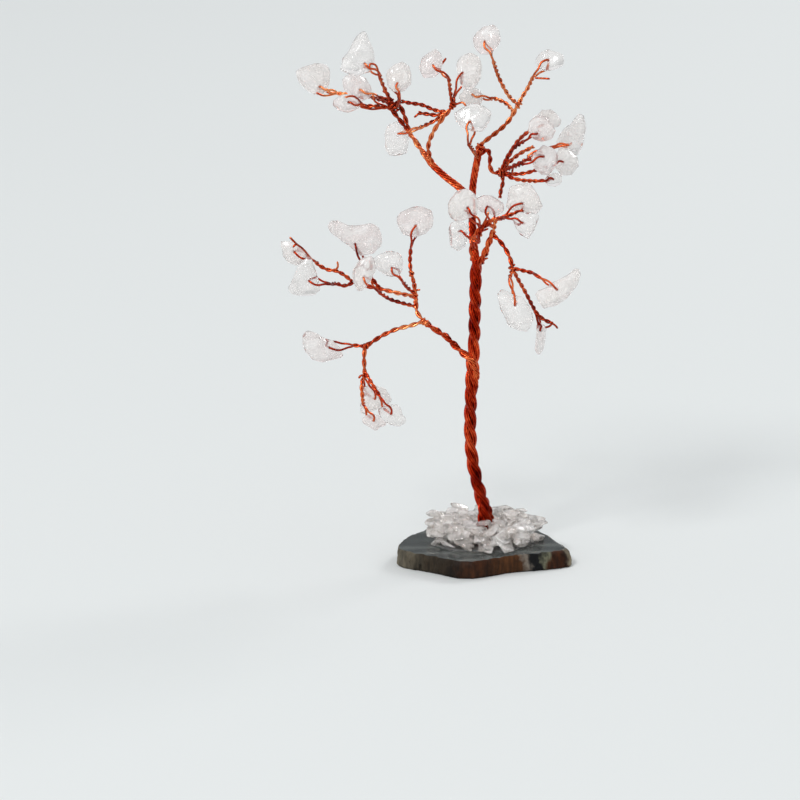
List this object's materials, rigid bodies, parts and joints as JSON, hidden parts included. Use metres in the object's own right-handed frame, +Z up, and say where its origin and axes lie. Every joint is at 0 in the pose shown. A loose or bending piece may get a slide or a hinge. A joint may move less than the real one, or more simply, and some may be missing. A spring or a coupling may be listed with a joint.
{
  "type": "gemstone wire tree ornament",
  "caption": "Small ornamental tree of twisted copper wire, its twigs threaded with clear quartz chips, standing on a sawn agate slice with a heap of chips around the foot.",
  "frame": {"origin": "middle of the agate slice's underside, below the foot of the trunk", "axes": "+Z up along the trunk, +X to the right and +Y to the back as the tree is seen from the front"},
  "size_m": [0.0763, 0.0403, 0.1379],
  "materials": {
    "copper": "drawn copper wire with a clear varnish, orange where bright and deep red-brown in the twist",
    "quartz": "tumbled clear to faintly pink quartz with milky veils",
    "heap_quartz": "small clear quartz chips, tumbled",
    "glue": "clear set glue",
    "agate": "polished dark top, rough brown banded rim"
  },
  "bodies": {
    "tree": {"agate_slice": "agate", "crown_limbs": "copper", "crown_twigs": "copper", "glue_bed": "glue", "heap_lower_chips": "heap_quartz", "heap_upper_chips": "heap_quartz", "left_twigs": "copper", "lower_left_bough": "copper", "lower_left_limbs": "copper", "lower_right_bough": "copper", "lower_right_twigs": "copper", "middle_limb": "copper", "middle_twigs": "copper", "right_bough": "copper", "right_twigs": "copper", "root_wires": "copper", "top_limb": "copper", "top_twigs": "copper", "trunk_foot": "copper", "trunk_middle": "copper", "trunk_top": "copper", "upper_left_bough": "copper"},
    "stone_01": {"stone_01": "quartz"},
    "stone_02": {"stone_02": "quartz"},
    "stone_03": {"stone_03": "quartz"},
    "stone_04": {"stone_04": "quartz"},
    "stone_05": {"stone_05": "quartz"},
    "stone_06": {"stone_06": "quartz"},
    "stone_07": {"stone_07": "quartz"},
    "stone_08": {"stone_08": "quartz"},
    "stone_09": {"stone_09": "quartz"},
    "stone_10": {"stone_10": "quartz"},
    "stone_11": {"stone_11": "quartz"},
    "stone_12": {"stone_12": "quartz"},
    "stone_13": {"stone_13": "quartz"},
    "stone_14": {"stone_14": "quartz"},
    "stone_15": {"stone_15": "quartz"},
    "stone_16": {"stone_16": "quartz"},
    "stone_17": {"stone_17": "quartz"},
    "stone_18": {"stone_18": "quartz"},
    "stone_19": {"stone_19": "quartz"},
    "stone_20": {"stone_20": "quartz"},
    "stone_21": {"stone_21": "quartz"},
    "stone_22": {"stone_22": "quartz"},
    "stone_23": {"stone_23": "quartz"},
    "stone_24": {"stone_24": "quartz"},
    "stone_25": {"stone_25": "quartz"},
    "stone_26": {"stone_26": "quartz"},
    "stone_27": {"stone_27": "quartz"},
    "stone_28": {"stone_28": "quartz"},
    "stone_29": {"stone_29": "quartz"},
    "stone_30": {"stone_30": "quartz"},
    "stone_31": {"stone_31": "quartz"},
    "stone_32": {"stone_32": "quartz"},
    "stone_33": {"stone_33": "quartz"},
    "stone_34": {"stone_34": "quartz"},
    "stone_35": {"stone_35": "quartz"},
    "stone_36": {"stone_36": "quartz"}
  },
  "joints": [
    {"name": "stone_01_turn", "type": "hinge", "parent": "tree", "child": "stone_01", "pos_m": [-0.039, -0.01013, 0.05727], "axis": [0.3745, -0.927, 0.0175], "range_deg": [-20, 20]},
    {"name": "stone_02_turn", "type": "hinge", "parent": "tree", "child": "stone_02", "pos_m": [-0.02775, -0.00038, 0.04145], "axis": [0.3254, -0.9449, 0.0349], "range_deg": [-20, 20]},
    {"name": "stone_03_turn", "type": "hinge", "parent": "tree", "child": "stone_03", "pos_m": [-0.0235, -0.01162, 0.04058], "axis": [0.2753, -0.9599, 0.0523], "range_deg": [-20, 20]},
    {"name": "stone_04_turn", "type": "hinge", "parent": "tree", "child": "stone_04", "pos_m": [-0.02775, -0.00637, 0.03737], "axis": [0.2244, -0.972, 0.0698], "range_deg": [-20, 20]},
    {"name": "stone_05_turn", "type": "hinge", "parent": "tree", "child": "stone_05", "pos_m": [-0.0475, 0.00337, 0.07824], "axis": [0.173, -0.9811, 0.0872], "range_deg": [-20, 20]},
    {"name": "stone_06_turn", "type": "hinge", "parent": "tree", "child": "stone_06", "pos_m": [-0.04375, -0.00075, 0.07184], "axis": [0.1212, -0.9871, 0.1045], "range_deg": [-20, 20]},
    {"name": "stone_07_turn", "type": "hinge", "parent": "tree", "child": "stone_07", "pos_m": [-0.03226, 0.00609, 0.07959], "axis": [0.0692, -0.9901, 0.1219], "range_deg": [-20, 20]},
    {"name": "stone_08_turn", "type": "hinge", "parent": "tree", "child": "stone_08", "pos_m": [-0.03, -0.00937, 0.07466], "axis": [0.0173, -0.9901, 0.1392], "range_deg": [-20, 20]},
    {"name": "stone_09_turn", "type": "hinge", "parent": "tree", "child": "stone_09", "pos_m": [-0.023, -0.00562, 0.07625], "axis": [-0.0345, -0.9871, 0.1564], "range_deg": [-20, 20]},
    {"name": "stone_10_turn", "type": "hinge", "parent": "tree", "child": "stone_10", "pos_m": [-0.017, 0.00187, 0.08511], "axis": [-0.0858, -0.9811, 0.1736], "range_deg": [-20, 20]},
    {"name": "stone_11_turn", "type": "hinge", "parent": "tree", "child": "stone_11", "pos_m": [0.01775, -0.01162, 0.07216], "axis": [-0.1366, -0.9721, 0.1908], "range_deg": [-20, 20]},
    {"name": "stone_12_turn", "type": "hinge", "parent": "tree", "child": "stone_12", "pos_m": [0.0075, -0.01312, 0.06842], "axis": [-0.1866, -0.9602, 0.2079], "range_deg": [-20, 20]},
    {"name": "stone_13_turn", "type": "hinge", "parent": "tree", "child": "stone_13", "pos_m": [0.014, -0.003, 0.0595], "axis": [-0.2357, -0.9454, 0.225], "range_deg": [-20, 20]},
    {"name": "stone_14_turn", "type": "hinge", "parent": "tree", "child": "stone_14", "pos_m": [0.00925, -0.0075, 0.0928], "axis": [-0.2837, -0.9279, 0.2419], "range_deg": [-20, 20]},
    {"name": "stone_15_turn", "type": "hinge", "parent": "tree", "child": "stone_15", "pos_m": [0.00925, -0.01425, 0.08943], "axis": [-0.3304, -0.9077, 0.2588], "range_deg": [-20, 20]},
    {"name": "stone_16_turn", "type": "hinge", "parent": "tree", "child": "stone_16", "pos_m": [0.001, -0.00112, 0.09057], "axis": [-0.3756, -0.8848, 0.2756], "range_deg": [-20, 20]},
    {"name": "stone_17_turn", "type": "hinge", "parent": "tree", "child": "stone_17", "pos_m": [-0.005, -0.009, 0.0919], "axis": [0.389, -0.8736, 0.2924], "range_deg": [-20, 20]},
    {"name": "stone_18_turn", "type": "hinge", "parent": "tree", "child": "stone_18", "pos_m": [-0.0065, -0.015, 0.08756], "axis": [0.3408, -0.8879, 0.309], "range_deg": [-20, 20]},
    {"name": "stone_19_turn", "type": "hinge", "parent": "tree", "child": "stone_19", "pos_m": [-0.03375, 0.00187, 0.11617], "axis": [0.2922, -0.8992, 0.3256], "range_deg": [-20, 20]},
    {"name": "stone_20_turn", "type": "hinge", "parent": "tree", "child": "stone_20", "pos_m": [-0.04125, 0.01426, 0.11751], "axis": [0.2432, -0.9077, 0.342], "range_deg": [-20, 20]},
    {"name": "stone_21_turn", "type": "hinge", "parent": "tree", "child": "stone_21", "pos_m": [-0.03, -0.00113, 0.12629], "axis": [0.1941, -0.9132, 0.3584], "range_deg": [-20, 20]},
    {"name": "stone_22_turn", "type": "hinge", "parent": "tree", "child": "stone_22", "pos_m": [-0.031, 0.0075, 0.11802], "axis": [0.145, -0.9158, 0.3746], "range_deg": [-20, 20]},
    {"name": "stone_23_turn", "type": "hinge", "parent": "tree", "child": "stone_23", "pos_m": [-0.02175, 0.00189, 0.12082], "axis": [0.0962, -0.9155, 0.3907], "range_deg": [-20, 20]},
    {"name": "stone_24_turn", "type": "hinge", "parent": "tree", "child": "stone_24", "pos_m": [-0.0215, -0.006, 0.10974], "axis": [0.0478, -0.9123, 0.4067], "range_deg": [-20, 20]},
    {"name": "stone_25_turn", "type": "hinge", "parent": "tree", "child": "stone_25", "pos_m": [-0.013, -0.00637, 0.12692], "axis": [0, -0.9063, 0.4226], "range_deg": [-20, 20]},
    {"name": "stone_26_turn", "type": "hinge", "parent": "tree", "child": "stone_26", "pos_m": [-0.0055, 0.00257, 0.12324], "axis": [-0.047, -0.8976, 0.4384], "range_deg": [-20, 20]},
    {"name": "stone_27_turn", "type": "hinge", "parent": "tree", "child": "stone_27", "pos_m": [0.01525, -0.00562, 0.12801], "axis": [-0.0931, -0.8861, 0.454], "range_deg": [-20, 20]},
    {"name": "stone_28_turn", "type": "hinge", "parent": "tree", "child": "stone_28", "pos_m": [-0.00025, -0.0105, 0.13346], "axis": [-0.1381, -0.8721, 0.4695], "range_deg": [-20, 20]},
    {"name": "stone_29_turn", "type": "hinge", "parent": "tree", "child": "stone_29", "pos_m": [-0.003, 0.00675, 0.11693], "axis": [-0.1818, -0.8555, 0.4848], "range_deg": [-20, 20]},
    {"name": "stone_30_turn", "type": "hinge", "parent": "tree", "child": "stone_30", "pos_m": [-0.0035, -0.00675, 0.11279], "axis": [-0.2241, -0.8365, 0.5], "range_deg": [-20, 20]},
    {"name": "stone_31_turn", "type": "hinge", "parent": "tree", "child": "stone_31", "pos_m": [0.013, -0.00525, 0.11005], "axis": [-0.309, -0.9509, 0.0175], "range_deg": [-20, 20]},
    {"name": "stone_32_turn", "type": "hinge", "parent": "tree", "child": "stone_32", "pos_m": [0.0155, 0.00937, 0.11053], "axis": [-0.3581, -0.933, 0.0349], "range_deg": [-20, 20]},
    {"name": "stone_33_turn", "type": "hinge", "parent": "tree", "child": "stone_33", "pos_m": [0.0215, 0.01537, 0.10297], "axis": [-0.4062, -0.9123, 0.0523], "range_deg": [-20, 20]},
    {"name": "stone_34_turn", "type": "hinge", "parent": "tree", "child": "stone_34", "pos_m": [0.01375, -0.0045, 0.10416], "axis": [0.3898, -0.9183, 0.0698], "range_deg": [-20, 20]},
    {"name": "stone_35_turn", "type": "hinge", "parent": "tree", "child": "stone_35", "pos_m": [0.01899, 0.00752, 0.10016], "axis": [0.3407, -0.9361, 0.0872], "range_deg": [-20, 20]},
    {"name": "stone_36_turn", "type": "hinge", "parent": "tree", "child": "stone_36", "pos_m": [0.0165, -0.00112, 0.09756], "axis": [0.2908, -0.9511, 0.1045], "range_deg": [-20, 20]}
  ]
}
